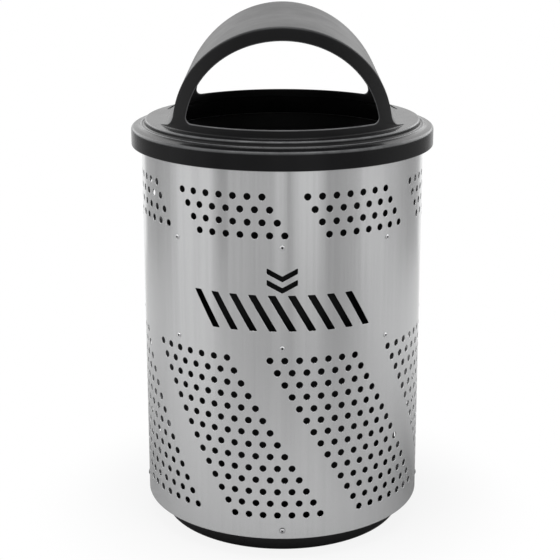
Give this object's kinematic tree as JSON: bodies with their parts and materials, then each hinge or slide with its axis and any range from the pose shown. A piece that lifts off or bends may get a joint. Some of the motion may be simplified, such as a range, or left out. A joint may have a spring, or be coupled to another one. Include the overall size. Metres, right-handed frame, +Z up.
{
  "type": "outdoor trash can",
  "caption": "Round outdoor trash can with a perforated steel body, a black base, a lift-out liner and a lift-off hooded lid open at front and back.",
  "frame": {"origin": "on the floor, under the centre of the base", "axes": "+Z up, front towards -Y, the two openings of the lid face -Y and +Y"},
  "size_m": [0.6, 0.5998, 1.0259],
  "materials": {
    "body_steel": "satin, fine vertical grain",
    "frame_steel": "plain mill finish",
    "fastener_steel": "bright",
    "base_black": "semi-gloss black coating",
    "liner_plastic": "matte black",
    "lid_plastic": "satin, finely textured moulding"
  },
  "bodies": {
    "can": {"body_shell": "body_steel", "top_ring": "frame_steel", "upper_hoop": "frame_steel", "middle_hoop": "frame_steel", "bottom_ring": "frame_steel", "upright_straps": "frame_steel", "upper_rivets": "fastener_steel", "middle_rivets": "fastener_steel", "body_screws": "fastener_steel", "screw_nuts": "fastener_steel", "base_pan": "base_black", "pan_bolts": "fastener_steel", "pan_nuts": "fastener_steel"},
    "lid": {"lid": "lid_plastic"},
    "liner": {"liner": "liner_plastic"}
  },
  "joints": [
    {"name": "lid_lift", "type": "slide", "parent": "can", "child": "lid", "axis": [0, 0, 1], "range_m": [0, 0.95]},
    {"name": "liner_lift", "type": "slide", "parent": "can", "child": "liner", "axis": [0, 0, 1], "range_m": [0, 0.76]}
  ],
  "couplings": [
    {"joint": "liner_lift", "follows": "lid_lift", "ratio": 0.8}
  ]
}
